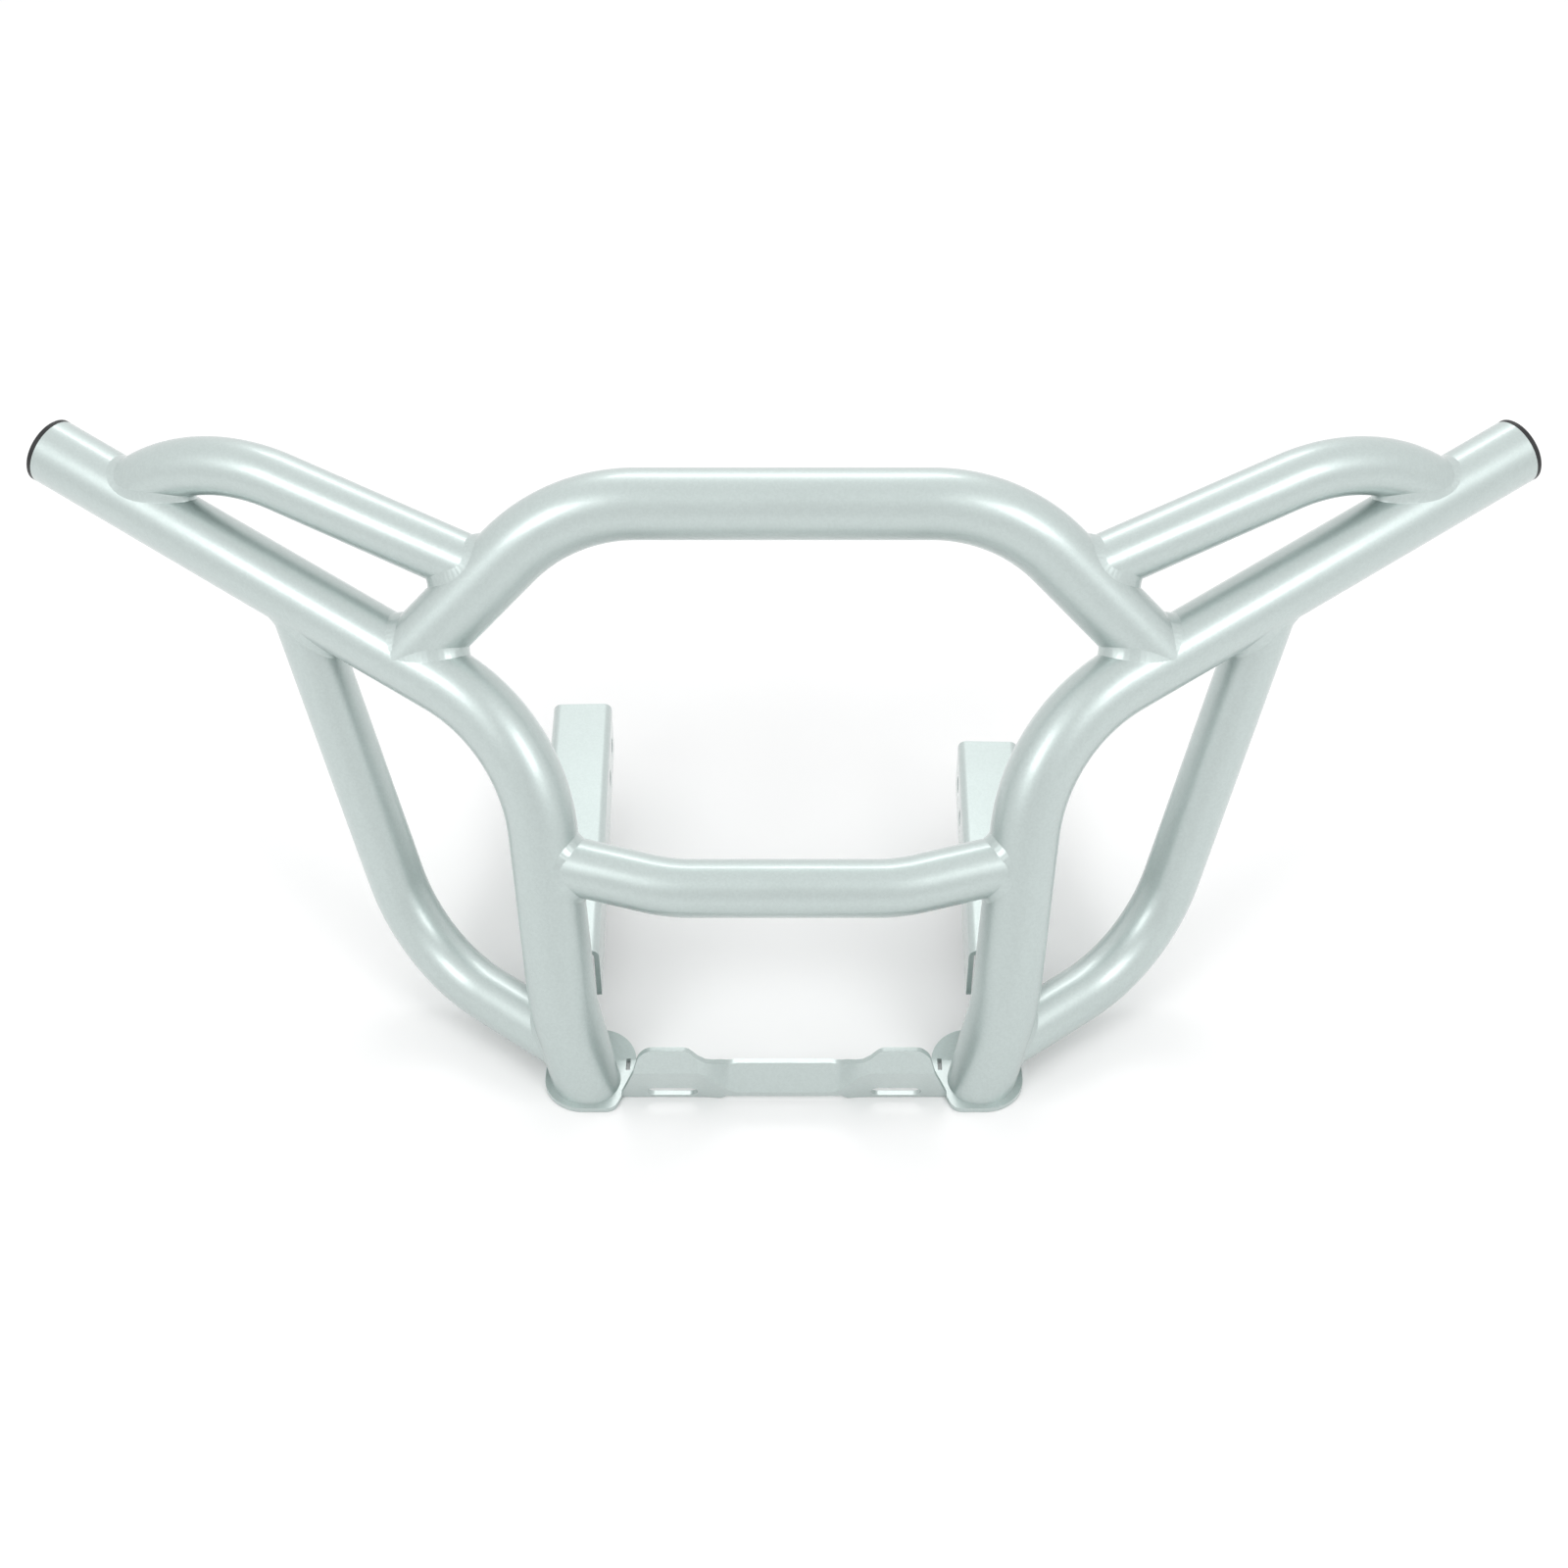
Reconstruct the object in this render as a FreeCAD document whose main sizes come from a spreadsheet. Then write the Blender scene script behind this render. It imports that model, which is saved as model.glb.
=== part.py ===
# Front bumper for a quad bike: bent and welded round steel tube with a pressed bottom bracket.
#
# Frame: +X to the viewer's right, +Y to the rear (towards the machine), +Z up, millimetres.
# The origin is midway between the two bolt slots of the lower bracket, in the middle of its
# sheet, and the support arms lie level. All but the arms' lengths is the same on both sides.

import FreeCAD, Part
import math
import os

import Sketcher
from FreeCAD import Placement, Rotation, Vector

SIZES = [
    # tube stock
    ("main_tube_dia", 38.0),
    ("main_tube_wall", 2.0),
    ("brace_tube_dia", 32.0),
    ("brace_tube_wall", 1.6),
    # main tube: wing end, shoulder corner, ankle corner and foot of the axis
    ("wing_end_out", 411.1),
    ("wing_end_back", 237.0),
    ("wing_end_height", 267.8),
    ("shoulder_out", 135.1),
    ("shoulder_back", 86.6),
    ("shoulder_height", 187.4),
    ("shoulder_bend", 95.0),
    ("ankle_out", 122.8),
    ("ankle_back", 26.9),
    ("ankle_height", 40.2),
    ("ankle_bend", 110.0),
    ("foot_out", 111.7),
    ("foot_back", 12.9),
    # centre hoop: place of its foot along the wing, and its upper corner
    ("hoop_foot_along_wing", 80.7),
    ("hoop_corner_out", 117.6),
    ("hoop_back", 146.9),
    ("hoop_height", 291.3),
    ("hoop_bend", 95.5),
    # wing loop: where it leaves the hoop, its corner over the wing, where it lands
    ("loop_foot_up_hoop", 67.3),
    ("loop_corner_along_wing", 210.5),
    ("loop_corner_behind", 16.0),
    ("loop_corner_rise", 52.5),
    ("loop_bend", 112.0),
    ("loop_end_along_wing", 276.4),
    # outer brace: where it hangs from the wing, its corner, where it meets the leg
    ("brace_along_wing", 156.5),
    ("brace_corner_out", 209.8),
    ("brace_corner_back", 86.3),
    ("brace_corner_height", 20.7),
    ("brace_bend", 84.0),
    ("brace_end_height", 12.9),
    # cross bar, bowed forward between the legs
    ("bar_corner_out", 61.8),
    ("bar_front", 42.9),
    ("bar_height", 113.1),
    ("bar_end_height", 119.4),
    ("bar_bend", 100.0),
    # sheet parts
    ("sheet", 3.0),
    ("sheet_bend", 5.0),
    # foot plate under a leg
    ("foot_inner_back", 81.0),
    ("foot_inner_front", 94.6),
    ("foot_round", 23.0),
    ("foot_corner", 7.0),
    ("ear_line", 13.0),
    ("ear_out", 105.0),
    ("ear_radius", 21.0),
    ("ear_rise", 12.0),
    ("relief_out", 87.3),
    ("relief_width", 2.4),
    ("relief_depth", 7.0),
    # lower bracket between the feet, heights from the underside of the foot plates
    ("fold_lean", 20.0),
    ("ridge_height", 32.0),
    ("centre_ridge_setback", 7.2),
    ("centre_ridge_height", 8.8),
    ("centre_half", 26.5),
    ("step_half", 47.5),
    ("bracket_foot_half", 92.0),
    ("bracket_end_half", 80.0),
    ("bracket_corner_half", 75.0),
    ("bracket_shoulder_half", 53.0),
    ("bracket_top", 44.7),
    ("bracket_end_top", 41.0),
    ("bracket_centre_half", 30.0),
    ("bracket_centre_top", 26.0),
    ("bracket_round", 8.0),
    ("recess_half", 32.0),
    ("recess_rise", 3.6),
    ("slot_inner", 53.0),
    ("slot_outer", 71.8),
    ("slot_height", 7.6),
    ("slot_width", 9.4),
    # support arms
    ("arm_inner_out", 103.5),
    ("arm_front", 49.9),
    ("arm_underside", 24.4),
    ("arm_width", 37.0),
    ("arm_depth", 35.0),
    ("arm_splay", 1.7),
    ("long_arm_length", 225.0),
    ("short_arm_length", 187.0),
    ("arm_hole_dia", 10.5),
    ("arm_hole_setback", 20.0),
    ("arm_hole_spacing", 32.0),
    # plastic end caps
    ("cap_head", 3.2),
    ("cap_rim", 0.6),
    ("cap_wall", 2.2),
    ("cap_stem", 16.0),
    ("cap_clearance", 0.6),
    ("cap_rib", 0.45),
    ("cap_rib_pitch", 4.5),
]

doc = FreeCAD.newDocument("front_bumper")
sheet = doc.addObject("Spreadsheet::Sheet", "Sizes")
for row, (alias, value) in enumerate(SIZES, start=1):
    sheet.set(f"A{row}", alias)
    sheet.set(f"B{row}", str(value))
    sheet.setAlias(f"B{row}", alias)
doc.recompute()


def size(alias):
    """A driving dimension, read from the sheet."""
    return float(sheet.get(alias))


def worth(expression):
    """The value of an expression over the sheet's sizes."""
    result = sheet.evalExpression(expression)
    return float(getattr(result, "Value", result))


# Points of the tube centre lines, right-hand side

def along(start, end, distance):
    """The point at a distance from start on the line to end."""
    return start + (end - start).normalize() * distance


def at_height(low, high, height):
    """The point of the line from low to high at a height."""
    return low + (high - low) * ((height - low.z) / (high.z - low.z))


def mirrored(point):
    return Vector(-point.x, point.y, point.z)


WING_END = Vector(size("wing_end_out"), size("wing_end_back"), size("wing_end_height"))
SHOULDER = Vector(size("shoulder_out"), size("shoulder_back"), size("shoulder_height"))
ANKLE = Vector(size("ankle_out"), size("ankle_back"), size("ankle_height"))
FOOT = Vector(size("foot_out"), size("foot_back"), size("sheet") - size("slot_height"))

HOOP_FOOT = along(SHOULDER, WING_END, size("hoop_foot_along_wing"))
HOOP_CORNER = Vector(size("hoop_corner_out"), size("hoop_back"), size("hoop_height"))

LOOP_FOOT = along(HOOP_FOOT, HOOP_CORNER, size("loop_foot_up_hoop"))
LOOP_CORNER = along(SHOULDER, WING_END, size("loop_corner_along_wing")) + Vector(
    0, size("loop_corner_behind"), size("loop_corner_rise"))
LOOP_END = along(SHOULDER, WING_END, size("loop_end_along_wing"))

BRACE_TOP = along(SHOULDER, WING_END, size("brace_along_wing"))
BRACE_CORNER = Vector(
    size("brace_corner_out"), size("brace_corner_back"), size("brace_corner_height"))
BRACE_END = at_height(FOOT, ANKLE, size("brace_end_height"))

BAR_CORNER = Vector(size("bar_corner_out"), size("bar_front"), size("bar_height"))
BAR_END = at_height(ANKLE, SHOULDER, size("bar_end_height"))


def centre_line(name, corners, bends):
    """A route of straight runs joined by tangent arcs, as a bender makes it."""
    edges = []
    last = corners[0]
    for before, corner, after, bend in zip(corners, corners[1:], corners[2:], bends):
        back = (before - corner).normalize()
        on = (after - corner).normalize()
        turn = math.pi - back.getAngle(on)
        run = bend * math.tan(turn / 2)
        middle = corner + (back + on).normalize() * (bend / math.cos(turn / 2) - bend)
        start = corner + back * run
        end = corner + on * run
        edges.append(Part.LineSegment(last, start).toShape())
        edges.append(Part.Arc(start, middle, end).toShape())
        last = end
    edges.append(Part.LineSegment(last, corners[-1]).toShape())
    route = doc.addObject("Part::Feature", name)
    route.Shape = Part.Wire(edges)
    return route


def swept_rod(name, route, radius):
    """A solid rod along a route, its radius bound to the sheet."""
    first = route.Shape.Edges[0]
    ring = doc.addObject("Part::Circle", f"{name}_ring")
    ring.setExpression("Radius", radius)
    ring.Placement = Placement(
        first.valueAt(first.FirstParameter),
        Rotation(Vector(0, 0, 1), first.tangentAt(first.FirstParameter)))
    rod = doc.addObject("Part::Sweep", name)
    rod.Sections = [ring]
    rod.Spine = (route, [f"Edge{n}" for n in range(1, len(route.Shape.Edges) + 1)])
    rod.Solid = True
    return rod


def cut(name, base, tool):
    """What is left of one object when another is taken away."""
    rest = doc.addObject("Part::Cut", name)
    rest.Base = base
    rest.Tool = tool
    return rest


def mirror(name, source):
    """The left-hand twin of a right-hand piece."""
    twin = doc.addObject("Part::Mirroring", name)
    twin.Source = source
    twin.Normal = Vector(1, 0, 0)
    return twin


def tube(name, corners, bends, stock):
    """Outer rod and bore of a bent tube, cut to a hollow length."""
    route = centre_line(f"{name}_route", corners, bends)
    outer = swept_rod(f"{name}_outside", route, f"Sizes.{stock}_dia / 2")
    bore = swept_rod(f"{name}_bore", route, f"Sizes.{stock}_dia / 2 - Sizes.{stock}_wall")
    doc.recompute()
    return outer, cut(f"{name}_length", outer, bore)


# Sketch helpers: every outline is bound to the sheet by its own constraints

def plane_of(body, role):
    return next(part for part in body.Origin.OriginFeatures if part.Role == role)


def sketch_on(body, name, role, offset=None):
    sketch = body.newObject("Sketcher::SketchObject", name)
    sketch.AttachmentSupport = [(plane_of(body, role), "")]
    sketch.MapMode = "FlatFace"
    if offset is not None:
        sketch.setExpression("AttachmentOffset.Base.z", offset)
    return sketch


def fix_point(sketch, geometry, which, across, up):
    """Binds a point's two coordinates to expressions over the sheet."""
    for kind, expression in (("DistanceX", across), ("DistanceY", up)):
        constraint = Sketcher.Constraint(kind, -1, 1, geometry, which, worth(expression))
        index = sketch.addConstraint(constraint)
        sketch.setExpression(f"Constraints[{index}]", expression)


def add_outline(sketch, corners):
    """A closed polygon whose corners are pairs of expressions."""
    spots = [Vector(worth(across), worth(up), 0) for across, up in corners]
    first = sketch.GeometryCount
    count = len(spots)
    for n in range(count):
        sketch.addGeometry(Part.LineSegment(spots[n], spots[(n + 1) % count]), False)
    for n in range(count):
        sketch.addConstraint(
            Sketcher.Constraint("Coincident", first + n, 2, first + (n + 1) % count, 1))
    for n, (across, up) in enumerate(corners):
        fix_point(sketch, first + n, 1, across, up)


def add_slot(sketch, left, right, level, radius):
    """A level slot with round ends; left and right are its end centres."""
    a = Vector(worth(left), worth(level), 0)
    b = Vector(worth(right), worth(level), 0)
    r = worth(radius)
    up = Vector(0, 0, 1)
    rise = Vector(0, r, 0)
    quarter = math.pi / 2
    first = sketch.GeometryCount
    sketch.addGeometry(Part.ArcOfCircle(Part.Circle(a, up, r), quarter, 3 * quarter), False)
    sketch.addGeometry(Part.LineSegment(a - rise, b - rise), False)
    sketch.addGeometry(Part.ArcOfCircle(Part.Circle(b, up, r), -quarter, quarter), False)
    sketch.addGeometry(Part.LineSegment(b + rise, a + rise), False)
    for one, one_end, other, other_end in ((0, 2, 1, 1), (1, 2, 2, 1), (2, 2, 3, 1), (3, 2, 0, 1)):
        sketch.addConstraint(Sketcher.Constraint(
            "Tangent", first + one, one_end, first + other, other_end))
    for arc, across in ((first, left), (first + 2, right)):
        fix_point(sketch, arc, 3, across, level)
        fix_radius(sketch, arc, radius)


def fix_radius(sketch, geometry, radius):
    index = sketch.addConstraint(Sketcher.Constraint("Radius", geometry, worth(radius)))
    sketch.setExpression(f"Constraints[{index}]", radius)


def pad(body, name, sketch, length, both_ways=False, backwards=False):
    feature = body.newObject("PartDesign::Pad", name)
    feature.Profile = sketch
    feature.setExpression("Length", length)
    feature.Midplane = both_ways
    feature.Reversed = backwards
    return feature


def drill(body, name, sketch):
    """A pocket right through, both ways from its sketch."""
    feature = body.newObject("PartDesign::Pocket", name)
    feature.Profile = sketch
    feature.Type = 1
    feature.Midplane = True
    return feature


def edges_where(shape, test):
    """Names of a shape's edges that pass a test."""
    return [f"Edge{n}" for n, edge in enumerate(shape.Edges, start=1) if test(edge)]


def round_edges(body, name, base, radius, test):
    """A fillet on the base feature's edges that pass a test."""
    doc.recompute()
    feature = body.newObject("PartDesign::Fillet", name)
    feature.Base = (base, edges_where(base.Shape, test))
    feature.setExpression("Radius", radius)
    return feature


def is_upright(edge):
    direction = edge.tangentAt(edge.FirstParameter)
    return abs(direction.z) > 0.999


# Main tubes: leg and wing of each side are one tube, cut level where it stands on its foot plate

foot_run = FOOT + (FOOT - ANKLE).normalize() * size("main_tube_dia")
main_rod, main_length = tube(
    "main_tube", [WING_END, SHOULDER, ANKLE, foot_run],
    [size("shoulder_bend"), size("ankle_bend")], "main_tube")

BLOCK = "4 * Sizes.main_tube_dia"
ground = doc.addObject("Part::Box", "below_foot")
for side in ("Length", "Width", "Height"):
    ground.setExpression(side, BLOCK)
ground.setExpression("Placement.Base.x", f"Sizes.foot_out - {BLOCK} / 2")
ground.setExpression("Placement.Base.y", f"Sizes.foot_back - {BLOCK} / 2")
ground.setExpression("Placement.Base.z", f"Sizes.sheet - Sizes.slot_height - {BLOCK}")

right_main_tube = cut("right_main_tube", main_length, ground)
left_main_tube = mirror("left_main_tube", right_main_tube)
left_main_rod = mirror("left_main_rod", main_rod)
standing_rod = cut("standing_rod", main_rod, ground)

# Centre hoop: one tube, its feet coped to the wings

hoop_rod, hoop_length = tube(
    "hoop", [HOOP_FOOT, HOOP_CORNER, mirrored(HOOP_CORNER), mirrored(HOOP_FOOT)],
    [size("hoop_bend"), size("hoop_bend")], "main_tube")
hoop_right_coped = cut("hoop_right_coped", hoop_length, main_rod)
centre_hoop = cut("centre_hoop", hoop_right_coped, left_main_rod)

# Wing loops: from the hoop's side over the wing and down on to it, both ends coped

loop_rod, loop_length = tube(
    "loop", [LOOP_FOOT, LOOP_CORNER, LOOP_END], [size("loop_bend")], "brace_tube")
loop_coped = cut("loop_coped", loop_length, hoop_rod)
right_wing_loop = cut("right_wing_loop", loop_coped, main_rod)
left_wing_loop = mirror("left_wing_loop", right_wing_loop)

# Outer braces: from the wing's underside down and in to the leg, coped to the same tube twice

brace_rod, brace_length = tube(
    "brace", [BRACE_TOP, BRACE_CORNER, BRACE_END], [size("brace_bend")], "brace_tube")
right_outer_brace = cut("right_outer_brace", brace_length, main_rod)
left_outer_brace = mirror("left_outer_brace", right_outer_brace)

# Cross bar: bowed forward, its ends coped to the legs

bar_rod, bar_length = tube(
    "bar", [BAR_END, BAR_CORNER, mirrored(BAR_CORNER), mirrored(BAR_END)],
    [size("bar_bend"), size("bar_bend")], "brace_tube")
bar_right_coped = cut("bar_right_coped", bar_length, main_rod)
cross_bar = cut("cross_bar", bar_right_coped, left_main_rod)

# Foot plates: sheet caps under the legs, round about the tube's foot on the outer side, each with
# a round ear bent up against the tube's back

foot_body = doc.addObject("PartDesign::Body", "foot_body")
foot_outline = sketch_on(foot_body, "foot_outline", "XY_Plane")
add_outline(foot_outline, [
    ("Sizes.foot_inner_back", "Sizes.ear_line"),
    ("Sizes.foot_inner_front", "-Sizes.foot_round"),
    ("Sizes.foot_out + Sizes.foot_round", "-Sizes.foot_round"),
    ("Sizes.foot_out + Sizes.foot_round", "Sizes.ear_line"),
])
foot_sheet = pad(foot_body, "foot_sheet", foot_outline, "Sizes.sheet")
foot_outer_corner = round_edges(
    foot_body, "foot_outer_corner", foot_sheet, "Sizes.foot_round",
    lambda edge: is_upright(edge) and edge.CenterOfMass.y < 0 and edge.CenterOfMass.x > FOOT.x)
round_edges(
    foot_body, "foot_inner_corner", foot_outer_corner, "Sizes.foot_corner",
    lambda edge: is_upright(edge) and edge.CenterOfMass.y < 0
    and edge.CenterOfMass.x < FOOT.x - size("foot_corner"))

ear_outline = sketch_on(foot_body, "ear_outline", "XY_Plane")
ear_outline.AttachmentOffset = Placement(
    Vector(0, size("ear_line"), 0), Rotation(Vector(1, 0, 0), size("ear_rise")))
ear_outline.setExpression("AttachmentOffset.Base.y", "Sizes.ear_line")
ear_outline.setExpression("AttachmentOffset.Rotation.Angle", "Sizes.ear_rise")
ear_centre = Vector(size("ear_out"), 0, 0)
ear_reach = Vector(size("ear_radius"), 0, 0)
ear_outline.addGeometry(Part.ArcOfCircle(
    Part.Circle(ear_centre, Vector(0, 0, 1), size("ear_radius")), 0, math.pi), False)
ear_outline.addGeometry(Part.LineSegment(ear_centre - ear_reach, ear_centre + ear_reach), False)
ear_outline.addConstraint(Sketcher.Constraint("Coincident", 0, 2, 1, 1))
ear_outline.addConstraint(Sketcher.Constraint("Coincident", 1, 2, 0, 1))
ear_outline.addConstraint(Sketcher.Constraint("PointOnObject", 1, 1, -1))
fix_point(ear_outline, 0, 3, "Sizes.ear_out", "0")
fix_radius(ear_outline, 0, "Sizes.ear_radius")
pad(foot_body, "ear_sheet", ear_outline, "Sizes.sheet")

relief_outline = sketch_on(foot_body, "relief_outline", "XY_Plane")
add_outline(relief_outline, [
    ("Sizes.relief_out", "Sizes.ear_line - Sizes.relief_depth"),
    ("Sizes.relief_out + Sizes.relief_width", "Sizes.ear_line - Sizes.relief_depth"),
    ("Sizes.relief_out + Sizes.relief_width", "Sizes.ear_line + Sizes.relief_width / 2"),
    ("Sizes.relief_out", "Sizes.ear_line + Sizes.relief_width / 2"),
])
drill(foot_body, "bend_relief", relief_outline)
foot_body.setExpression("Placement.Base.y", "Sizes.foot_back")
foot_body.setExpression("Placement.Base.z", "-Sizes.slot_height")
right_foot_plate = cut("right_foot_plate", foot_body, standing_rod)
left_foot_plate = mirror("left_foot_plate", right_foot_plate)

# Lower bracket: a sheet folded along a ridge that steps down in the middle. The folded form is
# cut to its blank's outline, which also holds the two slots and the recess in the lower edge.

bracket_form = doc.addObject("PartDesign::Body", "bracket_form")
bracket_form.setExpression("Placement.Base.z", "-Sizes.slot_height")
LEAN = "tan(Sizes.fold_lean)"
SHEET_ACROSS = "Sizes.sheet / cos(Sizes.fold_lean)"
FORM_TOP = "(Sizes.bracket_top + Sizes.sheet)"
RIDGE_REACH = f"((Sizes.ridge_height - Sizes.slot_height) * {LEAN} + {SHEET_ACROSS} / 2)"


def form_section(name, place, drop):
    """Section of the folded sheet at one place; drop is its share of the way down the step."""
    section = sketch_on(bracket_form, name, "YZ_Plane", place)
    reach = f"({RIDGE_REACH} - {drop} * Sizes.centre_ridge_setback)"
    height = f"(Sizes.ridge_height - {drop} * (Sizes.ridge_height - Sizes.centre_ridge_height))"
    front = [
        (f"-{reach} + ({height} + Sizes.sheet) * {LEAN}", "-Sizes.sheet"),
        (f"-{reach}", height),
        (f"-{reach} + ({FORM_TOP} - {height}) * {LEAN}", FORM_TOP),
    ]
    rear = [(f"{across} + {SHEET_ACROSS}", up) for across, up in reversed(front)]
    add_outline(section, front + rear)
    return section


# The step eases in and out: at a share t of its width the ridge has dropped by t * t * (3 - 2 * t)
STEP_SECTIONS = 6
right_places = []
for n in range(STEP_SECTIONS):
    t = n / (STEP_SECTIONS - 1)
    place = f"Sizes.centre_half + {t} * (Sizes.step_half - Sizes.centre_half)"
    right_places.append((place, 1 - t * t * (3 - 2 * t)))
right_places.append(("Sizes.bracket_foot_half + Sizes.sheet", 0))
left_places = [(f"-({place})", drop) for place, drop in reversed(right_places)]
form_sections = [
    form_section(f"form_section_{n}", place, drop)
    for n, (place, drop) in enumerate(left_places + right_places, start=1)]
folded = bracket_form.newObject("PartDesign::AdditiveLoft", "folded_sheet")
folded.Profile = form_sections[0]
folded.Sections = form_sections[1:]
folded.Ruled = True

bracket_blank = doc.addObject("PartDesign::Body", "bracket_blank")
bracket_blank.setExpression("Placement.Base.z", "-Sizes.slot_height")
blank_outline = sketch_on(bracket_blank, "blank_outline", "XZ_Plane")
right_edge = [
    ("Sizes.recess_half", "Sizes.recess_rise"),
    ("Sizes.recess_half + Sizes.recess_rise", "0"),
    ("Sizes.bracket_foot_half", "0"),
    ("Sizes.bracket_end_half", "Sizes.bracket_end_top"),
    ("Sizes.bracket_corner_half", "Sizes.bracket_top"),
    ("Sizes.bracket_shoulder_half", "Sizes.bracket_top"),
    ("Sizes.bracket_centre_half", "Sizes.bracket_centre_top"),
]
left_edge = [(f"-({across})", up) for across, up in reversed(right_edge)]
add_outline(blank_outline, right_edge + left_edge)
SLOT_RADIUS = "Sizes.slot_width / 2"
add_slot(blank_outline, "Sizes.slot_inner", "Sizes.slot_outer", "Sizes.slot_height", SLOT_RADIUS)
add_slot(blank_outline, "-Sizes.slot_outer", "-Sizes.slot_inner", "Sizes.slot_height", SLOT_RADIUS)
blank_sheet = pad(
    bracket_blank, "blank_sheet", blank_outline, "2 * Sizes.bracket_top", both_ways=True)
round_edges(
    bracket_blank, "blank_corners", blank_sheet, "Sizes.bracket_round",
    lambda edge: edge.BoundBox.YLength > 1
    and edge.CenterOfMass.z > size("bracket_centre_top") - 0.01)

bracket_cut_out = doc.addObject("Part::Common", "bracket_cut_out")
bracket_cut_out.Base = bracket_form
bracket_cut_out.Tool = bracket_blank
bracket_right_seated = cut("bracket_right_seated", bracket_cut_out, right_foot_plate)
lower_bracket = cut("lower_bracket", bracket_right_seated, left_foot_plate)

# Support arms: channels folded from sheet, open downward, welded to the rear of the legs. The
# left one is the longer. Each has two bolt holes through its webs near the rear end.


def support_arm(name, length):
    """A right-hand arm of the given length, coped to the leg and the brace."""
    body = doc.addObject("PartDesign::Body", f"{name}_channel")
    section = sketch_on(body, f"{name}_section", "XZ_Plane")
    inner_side = "Sizes.arm_width - Sizes.sheet"
    add_outline(section, [
        ("0", "0"),
        ("Sizes.sheet", "0"),
        ("Sizes.sheet", "Sizes.arm_depth - Sizes.sheet"),
        (inner_side, "Sizes.arm_depth - Sizes.sheet"),
        (inner_side, "0"),
        ("Sizes.arm_width", "0"),
        ("Sizes.arm_width", "Sizes.arm_depth"),
        ("0", "Sizes.arm_depth"),
    ])
    channel = pad(body, f"{name}_sheet", section, f"Sizes.{length}", backwards=True)
    outer_top = size("arm_depth")
    outer_bend = round_edges(
        body, f"{name}_outer_bend", channel, "Sizes.sheet_bend",
        lambda edge: edge.BoundBox.YLength > 1 and edge.CenterOfMass.z > outer_top - 0.01)
    inner_bend = round_edges(
        body, f"{name}_inner_bend", outer_bend, "Sizes.sheet_bend - Sizes.sheet",
        lambda edge: edge.BoundBox.YLength > 1
        and abs(edge.CenterOfMass.z - outer_top + size("sheet")) < 0.01)
    holes = sketch_on(body, f"{name}_holes", "YZ_Plane")
    for n, setback in enumerate(("Sizes.arm_hole_setback",
                                 "(Sizes.arm_hole_setback + Sizes.arm_hole_spacing)")):
        place = f"Sizes.{length} - {setback}"
        level = "(Sizes.arm_depth - Sizes.sheet) / 2"
        radius = "Sizes.arm_hole_dia / 2"
        centre = Vector(worth(place), worth(level), 0)
        holes.addGeometry(Part.Circle(centre, Vector(0, 0, 1), worth(radius)), False)
        fix_point(holes, n, 3, place, level)
        fix_radius(holes, n, radius)
    drill(body, f"{name}_bolt_holes", holes)
    body.Placement = Placement(
        Vector(size("arm_inner_out"), size("arm_front"), size("arm_underside")),
        Rotation(Vector(0, 0, 1), -size("arm_splay")))
    for axis, alias in (("x", "arm_inner_out"), ("y", "arm_front"), ("z", "arm_underside")):
        body.setExpression(f"Placement.Base.{axis}", f"Sizes.{alias}")
    return cut(name, cut(f"{name}_on_leg", body, main_rod), brace_rod)


right_support_arm = support_arm("right_support_arm", "short_arm_length")
left_arm_twin = support_arm("left_arm_twin", "long_arm_length")
left_support_arm = mirror("left_support_arm", left_arm_twin)

# End caps: moulded plugs with a hollow, ribbed stem pushed into the wing's open end

right_end_cap = doc.addObject("PartDesign::Body", "right_end_cap")
cap_section = sketch_on(right_end_cap, "cap_section", "XZ_Plane")
CAP_RADIUS = "Sizes.main_tube_dia / 2"
STEM = "(Sizes.main_tube_dia / 2 - Sizes.main_tube_wall - Sizes.cap_clearance)"
stem_outline = [("0", "0"), (f"{STEM} - Sizes.cap_wall", "0"),
                (f"{STEM} - Sizes.cap_wall", "-Sizes.cap_stem"), (STEM, "-Sizes.cap_stem")]
for n in (3, 2, 1):
    rib = f"-{n} * Sizes.cap_rib_pitch"
    stem_outline += [(STEM, f"{rib} - Sizes.cap_rib"),
                     (f"{STEM} + Sizes.cap_rib", rib),
                     (STEM, f"{rib} + Sizes.cap_rib")]
head_outline = [(STEM, "0"), (CAP_RADIUS, "0"), (CAP_RADIUS, "Sizes.cap_head - Sizes.cap_rim"),
                (f"{CAP_RADIUS} - Sizes.cap_rim", "Sizes.cap_head"), ("0", "Sizes.cap_head")]
add_outline(cap_section, stem_outline + head_outline)
cap_turned = right_end_cap.newObject("PartDesign::Revolution", "cap_turned")
cap_turned.Profile = cap_section
cap_turned.ReferenceAxis = (cap_section, ["V_Axis"])
cap_turned.Angle = 360
right_end_cap.Placement = Placement(
    WING_END, Rotation(Vector(0, 0, 1), WING_END - SHOULDER))
left_end_cap = mirror("left_end_cap", right_end_cap)

doc.recompute()

SUBPARTS = [
    left_main_tube, right_main_tube, centre_hoop,
    left_wing_loop, right_wing_loop,
    left_outer_brace, right_outer_brace, cross_bar,
    left_foot_plate, right_foot_plate, lower_bracket,
    left_support_arm, right_support_arm,
    left_end_cap, right_end_cap,
]

for item in doc.Objects:
    if "Invalid" in item.State or "Error" in item.State:
        raise RuntimeError(f"{item.Name} failed: {item.State}")
for part in SUBPARTS:
    part.Label = part.Name
    if part.Shape.isNull() or not part.Shape.isValid():
        raise RuntimeError(f"{part.Name} has no valid shape")

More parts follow.
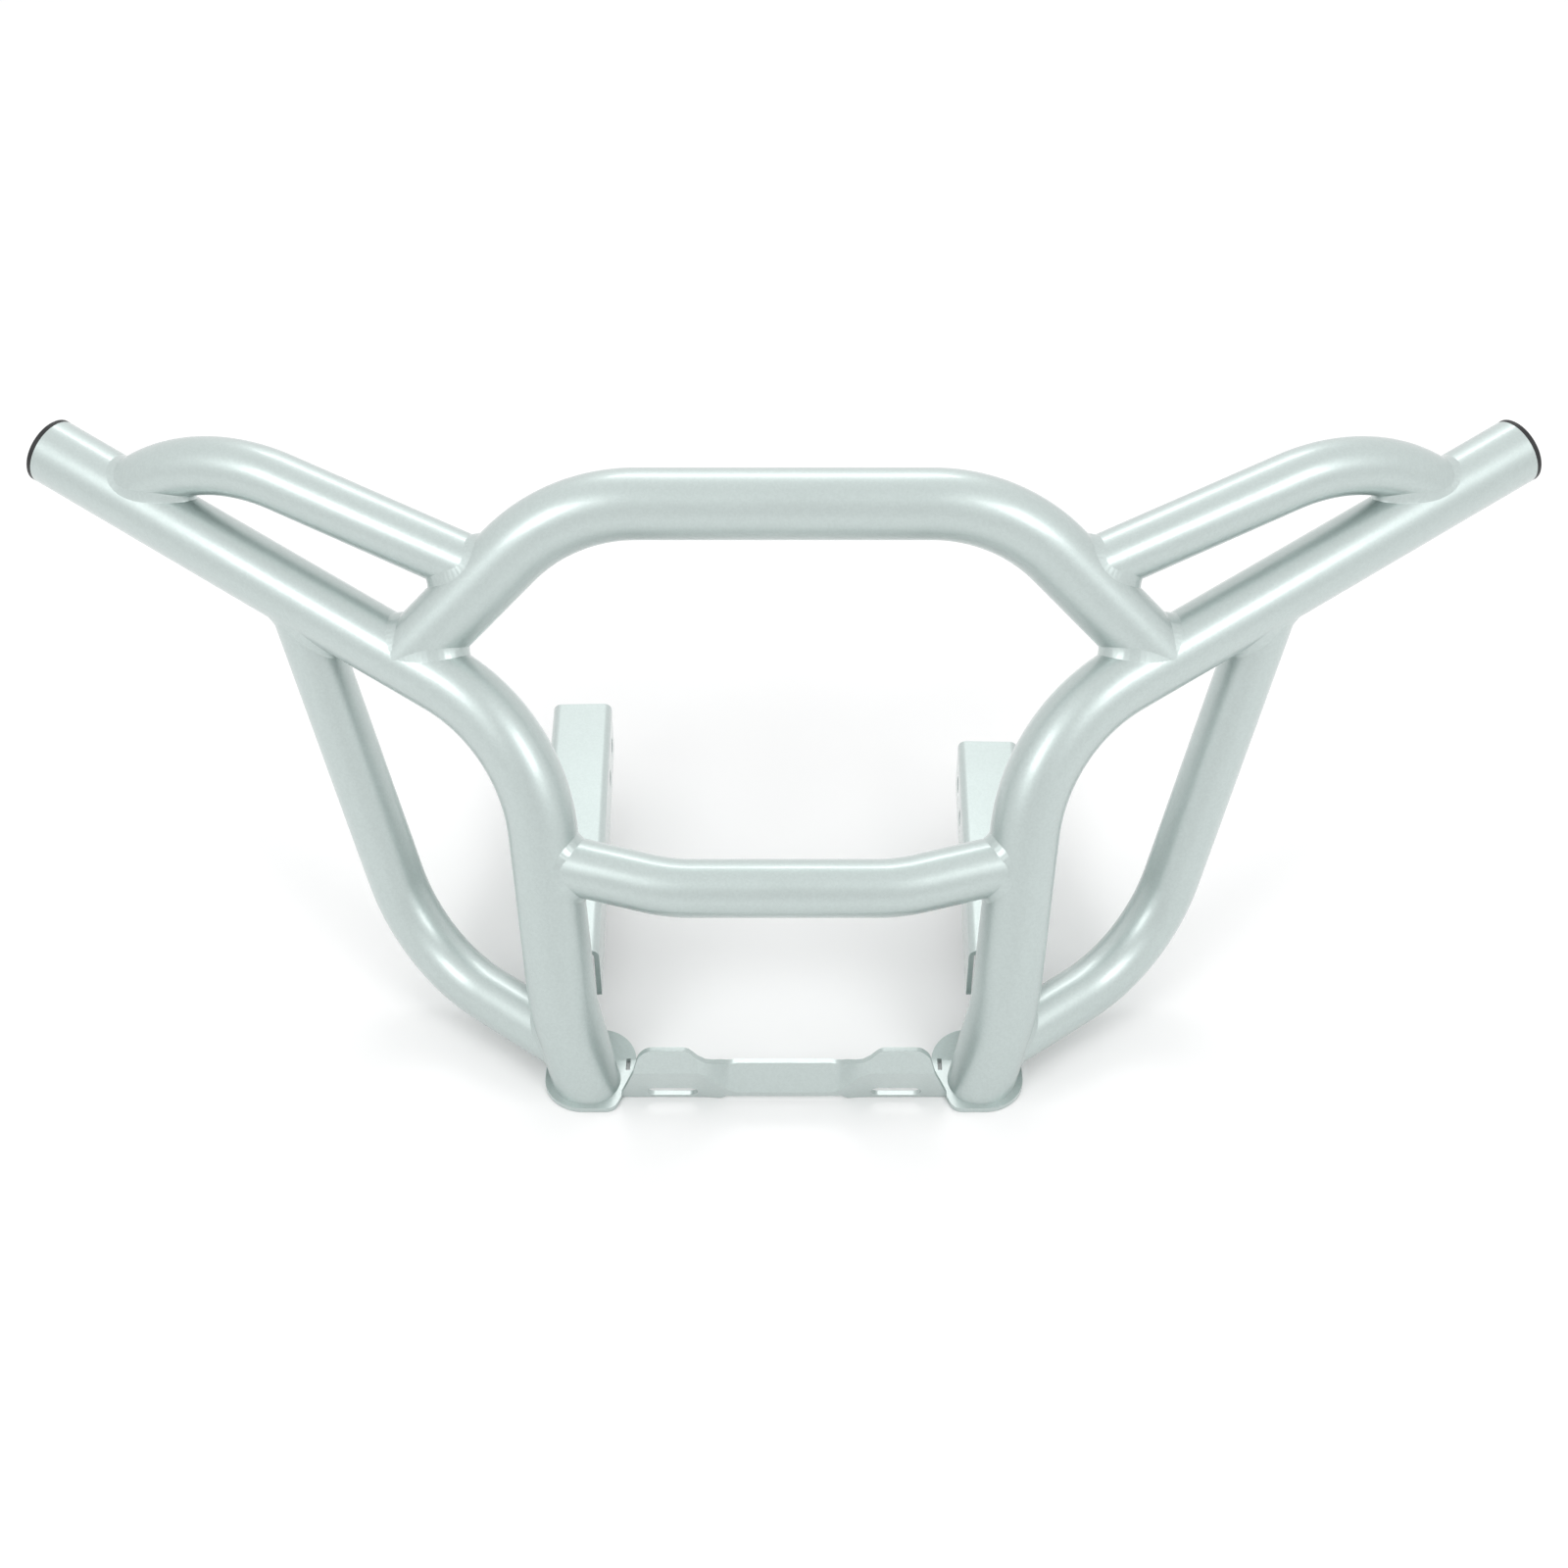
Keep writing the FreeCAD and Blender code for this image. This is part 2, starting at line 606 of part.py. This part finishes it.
os.makedirs("parts", exist_ok=True)
for part in SUBPARTS:
    part.Shape.exportStep(f"parts/{part.Label}.step")
    print(part.Label, len(part.Shape.Solids), round(part.Shape.Volume / 1000, 2))
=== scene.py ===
import math

import bmesh
import bpy
import numpy as np
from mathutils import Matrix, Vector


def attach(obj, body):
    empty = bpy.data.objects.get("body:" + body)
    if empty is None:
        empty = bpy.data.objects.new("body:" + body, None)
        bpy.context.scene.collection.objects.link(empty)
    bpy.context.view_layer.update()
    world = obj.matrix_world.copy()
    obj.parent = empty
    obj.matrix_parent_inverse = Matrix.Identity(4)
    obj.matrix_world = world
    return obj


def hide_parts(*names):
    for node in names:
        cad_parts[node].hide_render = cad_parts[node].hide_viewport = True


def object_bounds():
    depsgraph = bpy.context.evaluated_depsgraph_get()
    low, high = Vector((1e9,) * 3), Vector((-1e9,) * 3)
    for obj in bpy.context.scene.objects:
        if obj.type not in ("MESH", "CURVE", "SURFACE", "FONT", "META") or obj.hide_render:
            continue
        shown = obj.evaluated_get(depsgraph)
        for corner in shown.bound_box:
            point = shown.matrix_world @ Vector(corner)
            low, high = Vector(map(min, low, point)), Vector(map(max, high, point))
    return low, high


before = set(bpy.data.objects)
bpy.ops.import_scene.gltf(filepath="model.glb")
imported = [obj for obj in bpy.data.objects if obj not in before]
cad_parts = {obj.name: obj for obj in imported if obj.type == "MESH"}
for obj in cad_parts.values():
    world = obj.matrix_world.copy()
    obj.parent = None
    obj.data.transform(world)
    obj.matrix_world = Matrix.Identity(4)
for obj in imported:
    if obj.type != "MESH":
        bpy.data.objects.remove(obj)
cad_low, cad_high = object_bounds()


# Main tubes: each side's leg and wing are one bent length of round steel tube, 38 mm across
# with a 2 mm wall. The tube stands on its foot plate, sweeps back at the shoulder, and ends in
# the open wing end. All the steel is finished in a silver powder coat with metal flake.

def unit(vectors):
    """Each vector divided by its length."""
    return vectors / np.linalg.norm(vectors, axis=-1, keepdims=True)


def along(start, end, distance):
    """The point at a distance from start on the line to end."""
    return start + unit(end - start) * distance


MAIN_RADIUS = 0.019
MAIN_WALL = 0.002
WING_END = np.array([0.4111, 0.2370, 0.2678])
SHOULDER = np.array([0.1351, 0.0866, 0.1874])
ANKLE = np.array([0.1228, 0.0269, 0.0402])
FOOT = np.array([0.1117, 0.0129, -0.0046])
BELOW_FOOT = along(FOOT, ANKLE, -2 * MAIN_RADIUS)
SHOULDER_BEND = 0.095
ANKLE_BEND = 0.110
FOOT_SEARCH = 0.09
ARC_POINTS = 200
LINE_STEP = 0.0005
HALVINGS = 26
TUBE_LINES = 96


def linear(code):
    """An sRGB hex colour made linear: a division by 12.92 where dark, a power of 2.4 elsewhere."""
    parts = np.array([int(code[k:k + 2], 16) / 255 for k in (1, 3, 5)])
    light = np.where(parts < 0.04045, parts / 12.92, ((parts + 0.055) / 1.055) ** 2.4)
    return (*light.tolist(), 1.0)


def add_node(tree, kind, inputs=(), **settings):
    """A new node. Settings are its properties; an input is linked to a socket, or set to a
    value."""
    node = tree.nodes.new(kind)
    for name, value in settings.items():
        setattr(node, name, value)
    for name, value in dict(inputs).items():
        if isinstance(value, bpy.types.NodeSocket):
            tree.links.new(value, node.inputs[name])
        else:
            node.inputs[name].default_value = value
    return node


def new_material(name):
    """An empty node material and its tree."""
    material = bpy.data.materials.new(name)
    material.use_nodes = True
    material.node_tree.nodes.clear()
    return material, material.node_tree


# Silver metallic powder coat: polyester powder with aluminium flake, sprayed dry and baked. It
# flows out to a satin gloss with a faint orange peel, and the flake sparkles a little. The flake
# is about 0.05 mm on the real part and is drawn about 20 times coarser so that it shows.
FLAKE_SIZE = 0.0011
FLAKE_HEIGHT = 0.00002
PEEL_SIZE = 0.0035
PEEL_HEIGHT = 0.00004
CLOUD_SIZE = 0.06

powder_coat, tree = new_material("silver_metallic_powder_coat")
place = add_node(tree, "ShaderNodeTexCoord").outputs["Object"]
flake = add_node(tree, "ShaderNodeTexVoronoi", {"Vector": place, "Scale": 1 / FLAKE_SIZE})
flake_tone = add_node(tree, "ShaderNodeSeparateColor", {"Color": flake.outputs["Color"]})
cloud = add_node(tree, "ShaderNodeTexNoise", {
    "Vector": place, "Scale": 1 / CLOUD_SIZE, "Detail": 3.0})
coat_colour = add_node(tree, "ShaderNodeMixRGB", {
    "Fac": flake_tone.outputs["Red"], "Color1": linear("#bbc6c4"), "Color2": linear("#c0cbc9")})
coat_rough = add_node(tree, "ShaderNodeMapRange", {
    "Value": cloud.outputs["Fac"], "From Min": 0.3, "From Max": 0.7,
    "To Min": 0.40, "To Max": 0.45})
peel = add_node(tree, "ShaderNodeTexNoise", {
    "Vector": place, "Scale": 1 / PEEL_SIZE, "Detail": 2.0})
peel_bump = add_node(tree, "ShaderNodeBump", {
    "Height": peel.outputs["Fac"], "Strength": 0.25, "Distance": PEEL_HEIGHT})
flake_bump = add_node(tree, "ShaderNodeBump", {
    "Height": flake_tone.outputs["Green"], "Strength": 0.10, "Distance": FLAKE_HEIGHT,
    "Normal": peel_bump.outputs["Normal"]})
coat = add_node(tree, "ShaderNodeBsdfPrincipled", {
    "Base Color": coat_colour.outputs["Color"], "Roughness": coat_rough.outputs["Result"],
    "Normal": flake_bump.outputs["Normal"], "Metallic": 0.9, "Coat Weight": 0.8,
    "Coat Roughness": 0.14})
add_node(tree, "ShaderNodeOutputMaterial", {"Surface": coat.outputs["BSDF"]})


def bent_route(corners, bends):
    """Centre line of a bent tube: straight runs between the corners, joined by tangent arcs. An
    arc adds to its centre its two end radii, weighed by the sines of the turn that is left and
    of the turn made, over the sine of the whole turn. The line is sampled evenly and comes with
    its directions and with the side of the bends' plane."""
    runs = [corners[0][None]]
    for before, corner, after, bend in zip(corners, corners[1:], corners[2:], bends):
        back, on = unit(before - corner), unit(after - corner)
        turn = math.pi - math.acos(back @ on)
        tangent = bend * math.tan(turn / 2)
        centre = corner + unit(back + on) * bend / math.cos(turn / 2)
        first, last = corner + back * tangent - centre, corner + on * tangent - centre
        share = np.linspace(0, 1, ARC_POINTS)[:, None]
        runs.append(centre + (np.sin((1 - share) * turn) * first
                              + np.sin(share * turn) * last) / math.sin(turn))
    points = np.vstack(runs + [corners[-1][None]])
    steps = np.linalg.norm(np.diff(points, axis=0), axis=1)
    travelled = np.concatenate([[0], np.cumsum(steps)])
    even = np.linspace(0, travelled[-1], int(travelled[-1] / LINE_STEP))
    line = np.column_stack([np.interp(even, travelled, points[:, k]) for k in range(3)])
    return {"at": even, "line": line, "way": unit(np.gradient(line, axis=0)),
            "side": unit(np.cross(corners[1] - corners[0], corners[2] - corners[1]))}


def skin(route, station, angle, radius):
    """Point of a tube's skin: the centre line at a station, plus the radius turned by an angle
    from the side of the bend's plane."""
    def at_station(values):
        return np.stack([np.interp(station, route["at"], values[:, k]) for k in range(3)], -1)

    centre, way = at_station(route["line"]), unit(at_station(route["way"]))
    side = unit(route["side"] - (way @ route["side"])[..., None] * way)
    rise = np.cross(way, side)
    angle = np.broadcast_to(angle, np.shape(station))[..., None]
    return centre + radius * (np.cos(angle) * side + np.sin(angle) * rise)


def nearest(route, points):
    """The sample of the centre line that is nearest to each given point. Every second sample is
    close enough."""
    line = route["line"][::2]
    gap = ((points.reshape(-1, 3)[:, None] - line[None]) ** 2).sum(-1)
    return line[gap.argmin(1)].reshape(points.shape)


def beyond_tube(route):
    """How far points lie outside a 38 mm tube: their distance to its centre line less its
    radius."""
    return lambda points: np.linalg.norm(points - nearest(route, points), axis=-1) - MAIN_RADIUS


def cut_station(route, angle, radius, beyond, inside, outside):
    """Where each lengthwise line of the skin leaves a body, found by halving the stretch from a
    station inside the body to one outside it."""
    low, high = np.full(angle.shape, inside), np.full(angle.shape, outside)
    for _ in range(HALVINGS):
        middle = (low + high) / 2
        out = beyond(skin(route, middle, angle, radius)) > 0
        low, high = np.where(out, low, middle), np.where(out, middle, high)
    return (low + high) / 2


def add_object(name, data):
    """A new object that shows the data in the scene."""
    item = bpy.data.objects.new(name, data)
    bpy.context.scene.collection.objects.link(item)
    return item


def ring_mesh(name, grid, sharp):
    """A coated mesh on a grid of points that closes on itself both ways, faces pointing
    outwards: the signed volume under the faces is positive, or they are turned round. Edges
    that turn by more than the sharp angle, in degrees, are shaded sharp."""
    index = np.arange(grid.shape[0] * grid.shape[1]).reshape(grid.shape[:2])
    below, beside = np.roll(index, -1, 0), np.roll(index, -1, 1)
    faces = np.stack([index, below, np.roll(below, -1, 1), beside], -1).reshape(-1, 4)
    points = grid.reshape(-1, 3)
    a, b, c, d = (points[faces[:, k]] for k in range(4))
    if (np.cross(b - a, c - a) * a).sum() + (np.cross(c - a, d - a) * a).sum() < 0:
        faces = faces[:, ::-1]
    mesh = bpy.data.meshes.new(name)
    mesh.from_pydata(points, [], faces)
    mesh.polygons.foreach_set("use_smooth", np.ones(len(faces), bool))
    mesh.set_sharp_from_angle(angle=math.radians(sharp))
    mesh.materials.append(powder_coat)
    piece = add_object(name, mesh)
    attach(piece, "root")
    return piece


def tube_piece(node, route, radius, wall, stations, start_cut, end_cut):
    """A tube's outside and bore, joined round both ends: on each skin the stations run evenly
    from the start cut to the end cut of their own lengthwise line."""
    angle = np.linspace(0, 2 * math.pi, TUBE_LINES, endpoint=False)
    share = np.linspace(0, 1, stations)[:, None]
    skins = []
    for skin_radius in (radius, radius - wall):
        first, last = start_cut(angle, skin_radius), end_cut(angle, skin_radius)
        skins.append(skin(route, first + (last - first) * share, angle[None], skin_radius))
    piece = ring_mesh(f"{node}_skin", np.concatenate([skins[0], skins[1][::-1]]), sharp=35)
    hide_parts(node)


def sideways(corners, sign):
    """Corners of the right-hand or, with a sign of -1, the left-hand piece."""
    return [corner * (sign, 1, 1) for corner in corners]


SIDES = (("left", -1), ("right", 1))
main_routes = {}
for hand, sign in SIDES:
    route = bent_route(sideways([WING_END, SHOULDER, ANKLE, BELOW_FOOT], sign),
                       [SHOULDER_BEND, ANKLE_BEND])
    main_routes[hand] = route
    whole = route["at"][-1]
    tube_piece(
        f"{hand}_main_tube", route, MAIN_RADIUS, MAIN_WALL, 150,
        lambda angle, radius: np.zeros(angle.shape),
        lambda angle, radius: cut_station(
            route, angle, radius, lambda points: FOOT[2] - points[..., 2],
            whole - FOOT_SEARCH, whole))


# Centre hoop: one length of the same tube with two bends, its feet coped to the wings and
# welded on. The weld beads are small fillets, laid by hand and coated with the rest.

HOOP_FOOT = along(SHOULDER, WING_END, 0.0807)
HOOP_CORNER = np.array([0.1176, 0.1469, 0.2913])
HOOP_BEND = 0.0955
BEAD_LEG = 0.0042
BEAD_LINES = 300
BEAD_STEPS = 15
BEAD_POWER = 2.3
BEAD_NARROWEST = 0.3
BEAD_SINK = 0.00012
BEAD_ROOT_DEPTH = 0.0007
SLOW_WANDER = 0.05
QUICK_WANDER = 0.03
RIPPLE_PITCH = 0.0028
RIPPLE_DEPTH = 0.00003
AWAY_SHARE = 0.1


def weld_bead(name, child, radius, parent, inside, outside, leg):
    """A weld bead round the line where a child tube meets its parent. Across the bead the two
    legs, up the child's skin and out along the parent's, are weighed by the cosine and the sine
    of a quarter turn, each to the bead's power, which gives a hollow fillet that runs out
    smoothly under the coat. Along it the face swells with a cosine of the length run, as a
    hand-laid bead ripples, its width wanders by a slow and a quick sine, and it narrows where
    the two skins run on without a crease. The edges are pulled just under the two skins, and
    the root lies in the metal."""
    angle = np.linspace(0, 2 * math.pi, BEAD_LINES, endpoint=False)
    station = cut_station(child, angle, radius, beyond_tube(parent), inside, outside)
    root = skin(child, station, angle, radius)
    child_out = unit(root - nearest(child, root))
    parent_out = unit(root - nearest(parent, root))
    middle_out = unit(child_out + parent_out)
    seam = unit(np.roll(root, -1, 0) - np.roll(root, 1, 0))
    away = skin(child, station + (outside - inside) * AWAY_SHARE, angle, radius) - root
    up_child = unit(np.cross(child_out, seam))
    up_child *= np.sign((up_child * away).sum())
    on_parent = unit(np.cross(parent_out, seam))
    on_parent *= np.sign((on_parent * child_out).sum())
    run = np.concatenate([[0], np.cumsum(np.linalg.norm(np.diff(root, axis=0), axis=1))])
    ripples = round(run[-1] / RIPPLE_PITCH)
    wave = np.cos(run / run[-1] * ripples * 2 * math.pi)
    wander = SLOW_WANDER * np.sin(3 * angle + len(name)) + QUICK_WANDER * np.sin(7 * angle)
    crease = np.arccos(np.clip((child_out * parent_out).sum(-1), -1, 1))
    narrowing = BEAD_NARROWEST + (1 - BEAD_NARROWEST) * np.minimum(crease, 1)
    reach = (leg * (1 + wander) * narrowing)[:, None]
    top = root + reach * up_child
    top_axis = nearest(child, top)
    top = top_axis + unit(top - top_axis) * (radius - BEAD_SINK)
    foot = root + reach * on_parent
    foot_axis = nearest(parent, foot)
    foot = foot_axis + unit(foot - foot_axis) * (MAIN_RADIUS - BEAD_SINK)
    turn = np.linspace(0, math.pi / 2, BEAD_STEPS)[:, None, None]
    swell = RIPPLE_DEPTH * wave[:, None] * np.sin(2 * turn) ** 2
    face = (root + (top - root) * np.cos(turn) ** BEAD_POWER
            + (foot - root) * np.sin(turn) ** BEAD_POWER + middle_out * swell)
    core = (root - BEAD_ROOT_DEPTH * middle_out)[None]
    piece = ring_mesh(name, np.concatenate([face, core]), sharp=60)


def coped_tube(node, route, radius, wall, stations, reach, seats):
    """A tube with each end coped to another tube, and a weld bead round each seat. The two seats
    give the bead's name, the other tube's route and the bead's leg. Each cut is looked for
    from the end of the centre line, inside the other tube, to a station that lies outside it by
    the reach."""
    def cut(parent, span):
        return lambda angle, skin_radius: cut_station(
            route, angle, skin_radius, beyond_tube(parent), *span)

    whole = route["at"][-1]
    spans = ((0, reach), (whole, whole - reach))
    cuts = [cut(parent, span) for (_, parent, _), span in zip(seats, spans)]
    tube_piece(node, route, radius, wall, stations, *cuts)
    for (bead, parent, leg), span in zip(seats, spans):
        weld_bead(bead, route, radius, parent, *span, leg)


hoop_route = bent_route([HOOP_FOOT, HOOP_CORNER, *sideways([HOOP_CORNER, HOOP_FOOT], -1)],
                        [HOOP_BEND, HOOP_BEND])
coped_tube("centre_hoop", hoop_route, MAIN_RADIUS, MAIN_WALL, stations=150, reach=0.055, seats=[
    ("hoop_weld_right", main_routes["right"], BEAD_LEG),
    ("hoop_weld_left", main_routes["left"], BEAD_LEG)])


# Wing loops: 32 mm tube with a 1.6 mm wall. Each leaves the side of the hoop, runs out above
# the wing and bends down on to it. Both ends are coped and welded.

BRACE_RADIUS = 0.016
BRACE_WALL = 0.0016
LOOP_FOOT = along(HOOP_FOOT, HOOP_CORNER, 0.0673)
LOOP_CORNER = along(SHOULDER, WING_END, 0.2105) + (0, 0.016, 0.0525)
LOOP_END = along(SHOULDER, WING_END, 0.2764)
LOOP_BEND = 0.112

for hand, sign in SIDES:
    route = bent_route(sideways([LOOP_FOOT, LOOP_CORNER, LOOP_END], sign), [LOOP_BEND])
    coped_tube(
        f"{hand}_wing_loop", route, BRACE_RADIUS, BRACE_WALL, stations=90, reach=0.05, seats=[
            (f"loop_hoop_weld_{hand}", hoop_route, BEAD_LEG),
            (f"loop_wing_weld_{hand}", main_routes[hand], BEAD_LEG)])


# Outer braces: the same 32 mm tube. Each hangs from the underside of a wing, comes down and
# bends inwards to the lower end of the leg. Both ends are coped to the main tube and welded.

def at_height(start, end, height):
    """The point at a height on the line from start to end."""
    return start + (end - start) * (height - start[2]) / (end[2] - start[2])


BRACE_TOP = along(SHOULDER, WING_END, 0.1565)
BRACE_CORNER = np.array([0.2098, 0.0863, 0.0207])
BRACE_END = at_height(FOOT, ANKLE, 0.0129)
BRACE_BEND = 0.084
SMALL_BEAD_LEG = 0.0032

for hand, sign in SIDES:
    route = bent_route(sideways([BRACE_TOP, BRACE_CORNER, BRACE_END], sign), [BRACE_BEND])
    coped_tube(
        f"{hand}_outer_brace", route, BRACE_RADIUS, BRACE_WALL, stations=110, reach=0.05, seats=[
            (f"brace_wing_weld_{hand}", main_routes[hand], BEAD_LEG),
            (f"brace_leg_weld_{hand}", main_routes[hand], SMALL_BEAD_LEG)])


# Cross bar: the same 32 mm tube, bowed a little forward between the legs. Its ends are coped to
# the legs and welded with smaller beads.

BAR_END = at_height(ANKLE, SHOULDER, 0.1194)
BAR_CORNER = np.array([0.0618, 0.0429, 0.1131])
BAR_BEND = 0.100

bar_route = bent_route([BAR_END, BAR_CORNER, *sideways([BAR_CORNER, BAR_END], -1)],
                       [BAR_BEND, BAR_BEND])
coped_tube("cross_bar", bar_route, BRACE_RADIUS, BRACE_WALL, stations=90, reach=0.04, seats=[
    ("bar_weld_right", main_routes["right"], SMALL_BEAD_LEG),
    ("bar_weld_left", main_routes["left"], SMALL_BEAD_LEG)])


# Foot plates, support arms and lower bracket: 3 mm steel sheet, laser cut and folded. The cut
# edges are broken by the blasting before the coat, and the bracket's folds get a round of their
# own, because they are sharp in the solid.

EDGE_BREAK = 0.0005
FOLD_ROUND = 0.0025


def sheet_piece(node, folds):
    """A copy of a node's solid with its corners joined and its sharp edges broken. Edges whose
    two faces turn by an angle in the range of folds, in degrees, are bends of the sheet and get
    a larger round."""
    name = f"{node}_sheet"
    solid = bmesh.new()
    solid.from_mesh(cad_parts[node].data)
    bmesh.ops.remove_doubles(solid, verts=solid.verts, dist=0.00001)
    bmesh.ops.dissolve_limit(solid, angle_limit=math.radians(1), verts=solid.verts,
                             edges=solid.edges)
    weight = solid.edges.layers.float.new("bevel_weight_edge")
    for edge in solid.edges:
        if folds[0] < math.degrees(edge.calc_face_angle(0)) < folds[1]:
            edge[weight] = 1
    mesh = bpy.data.meshes.new(name)
    solid.to_mesh(mesh)
    solid.free()
    mesh.polygons.foreach_set("use_smooth", np.ones(len(mesh.polygons), bool))
    mesh.set_sharp_from_angle(angle=math.radians(30))
    mesh.materials.clear()
    mesh.materials.append(powder_coat)
    piece = add_object(name, mesh)
    for label, limit, width, steps in (("fold_round", "WEIGHT", FOLD_ROUND, 5),
                                       ("edge_break", "ANGLE", EDGE_BREAK, 2)):
        bevel = piece.modifiers.new(label, "BEVEL")
        bevel.limit_method = limit
        bevel.width = width
        bevel.segments = steps
        bevel.angle_limit = math.radians(35)
        bevel.harden_normals = True
    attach(piece, "root")
    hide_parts(node)


NO_FOLDS = (90, 90)
for node in ("left_foot_plate", "right_foot_plate", "left_support_arm", "right_support_arm"):
    sheet_piece(node, NO_FOLDS)
sheet_piece("lower_bracket", folds=(25, 55))


# End caps: black moulded polyethylene plugs that close the wings' open ends. The cap's head
# stands about 3 mm proud of the tube, with a small chamfer and the fine grain of the mould,
# usually about 0.2 mm and drawn here four times coarser so that it shows.

GRAIN_SIZE = 0.0008
GRAIN_HEIGHT = 0.00005

black_plastic, tree = new_material("black_moulded_polyethylene")
place = add_node(tree, "ShaderNodeTexCoord").outputs["Object"]
grain = add_node(tree, "ShaderNodeTexNoise", {
    "Vector": place, "Scale": 1 / GRAIN_SIZE, "Detail": 2.0})
plastic_rough = add_node(tree, "ShaderNodeMapRange", {
    "Value": grain.outputs["Fac"], "From Min": 0.3, "From Max": 0.7,
    "To Min": 0.42, "To Max": 0.55})
grain_bump = add_node(tree, "ShaderNodeBump", {
    "Height": grain.outputs["Fac"], "Strength": 0.3, "Distance": GRAIN_HEIGHT})
plastic = add_node(tree, "ShaderNodeBsdfPrincipled", {
    "Base Color": linear("#17181a"), "Roughness": plastic_rough.outputs["Result"],
    "Normal": grain_bump.outputs["Normal"], "IOR": 1.5})
add_node(tree, "ShaderNodeOutputMaterial", {"Surface": plastic.outputs["BSDF"]})
for node in ("left_end_cap", "right_end_cap"):
    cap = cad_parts[node]
    cap.data.materials.clear()
    cap.data.materials.append(black_plastic)


# Floor, light and camera: a white studio card just under the lowest point, a white room that
# is a little brighter overhead and dimmer above the front, a long soft box behind and above,
# a soft box in front to each side, and a camera that looks 40 degrees down, as in the photo.

FLOOR_LEVEL = cad_low[2] - 0.0002
HALF_FLOOR = 6.0

white_card, tree = new_material("white_studio_card")
card = add_node(tree, "ShaderNodeBsdfPrincipled", {
    "Base Color": linear("#f1f1f1"), "Roughness": 0.9, "Specular IOR Level": 0.2})
add_node(tree, "ShaderNodeOutputMaterial", {"Surface": card.outputs["BSDF"]})
floor_mesh = bpy.data.meshes.new("studio_floor")
floor_mesh.from_pydata([(x * HALF_FLOOR, y * HALF_FLOOR, FLOOR_LEVEL) for x, y in
                        ((-1, -1), (1, -1), (1, 1), (-1, 1))], [], [(0, 1, 2, 3)])
floor_mesh.materials.append(white_card)
floor = add_object("studio_floor", floor_mesh)

world = bpy.data.worlds.new("white_studio")
bpy.context.scene.world = world
world.use_nodes = True
tree = world.node_tree
tree.nodes.clear()
way = add_node(tree, "ShaderNodeTexCoord").outputs["Generated"]
heading = add_node(tree, "ShaderNodeSeparateXYZ", {"Vector": way})
wall = add_node(tree, "ShaderNodeMapRange", {
    "Value": heading.outputs["Z"], "From Min": 0.1, "From Max": 1.0,
    "To Min": 1.0, "To Max": 1.1})
# The heading's Y times Z falls to -0.5 halfway up in front.
upper_rear = add_node(tree, "ShaderNodeMath", {0: heading.outputs["Y"], 1: heading.outputs["Z"]},
                      operation="MULTIPLY")
front_dim = add_node(tree, "ShaderNodeMapRange", {
    "Value": upper_rear.outputs["Value"],
    "From Min": -0.5, "From Max": 0.0, "To Min": 0.75, "To Max": 1.0})
brightness = add_node(tree, "ShaderNodeMath", {
    0: wall.outputs["Result"], 1: front_dim.outputs["Result"]}, operation="MULTIPLY")
sky = add_node(tree, "ShaderNodeBackground", {
    "Color": linear("#ffffff"), "Strength": brightness.outputs["Value"]})
add_node(tree, "ShaderNodeOutputWorld", {"Surface": sky.outputs["Background"]})

LIGHT_AIM = np.array([0.0, 0.12, 0.12])
LIGHT_DISTANCE = 2.4


def soft_box(name, azimuth, elevation, wide, high, power):
    """A soft box that faces the bumper from a compass angle (0 in front, 90 to the viewer's
    right, 180 behind) and a height angle."""
    light = bpy.data.lights.new(name, "AREA")
    light.shape = "RECTANGLE"
    light.size, light.size_y, light.energy = wide, high, power
    box = add_object(name, light)
    turn, rise = math.radians(azimuth), math.radians(elevation)
    box.location = LIGHT_AIM + LIGHT_DISTANCE * np.array([
        math.sin(turn) * math.cos(rise), -math.cos(turn) * math.cos(rise), math.sin(rise)])
    box.rotation_euler = (math.pi / 2 - rise, 0, turn)


soft_box("rear_soft_box", azimuth=180, elevation=49, wide=1.2, high=0.35, power=6)
soft_box("left_soft_box", azimuth=-46, elevation=43, wide=0.9, high=0.9, power=10)
soft_box("right_soft_box", azimuth=46, elevation=43, wide=0.9, high=0.9, power=10)

camera_data = bpy.data.cameras.new("camera")
camera_data.lens = 49.5
camera_data.sensor_width = 36.0
camera = add_object("camera", camera_data)
camera.location = (0.0, -0.8135, 0.9054)
camera.rotation_euler = (math.radians(50), 0, 0)
bpy.context.scene.camera = camera
bpy.context.scene.view_settings.view_transform = "Standard"
